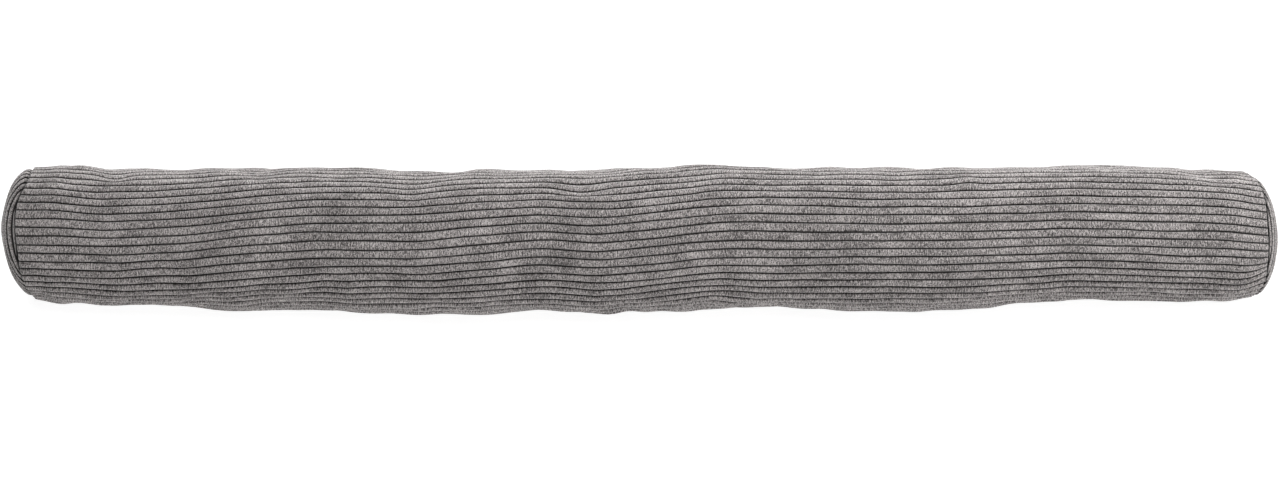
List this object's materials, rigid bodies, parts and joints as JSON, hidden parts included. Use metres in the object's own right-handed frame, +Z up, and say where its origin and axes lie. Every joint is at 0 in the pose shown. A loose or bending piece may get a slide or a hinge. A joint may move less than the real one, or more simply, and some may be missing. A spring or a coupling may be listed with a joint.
{
  "type": "draught excluder",
  "caption": "Long round draught excluder: a filled tube in wide-wale corduroy with a domed round panel sewn into each end, lying flat on a floor.",
  "frame": {"origin": "centre of the bounding box's bottom, on the surface below the middle of the tube", "axes": "+X along the tube towards its right end, +Y to its back, +Z up"},
  "size_m": [0.9002, 0.1146, 0.0994],
  "materials": {
    "tube_corduroy": "matt pile, warm mid grey wide-wale corduroy, wales along the tube",
    "end_corduroy": "matt pile, warm mid grey wide-wale corduroy, wales straight across the panel"
  },
  "bodies": {
    "root": {"filled_tube": "tube_corduroy", "end_panel_left": "end_corduroy", "end_panel_right": "end_corduroy"}
  },
  "joints": []
}
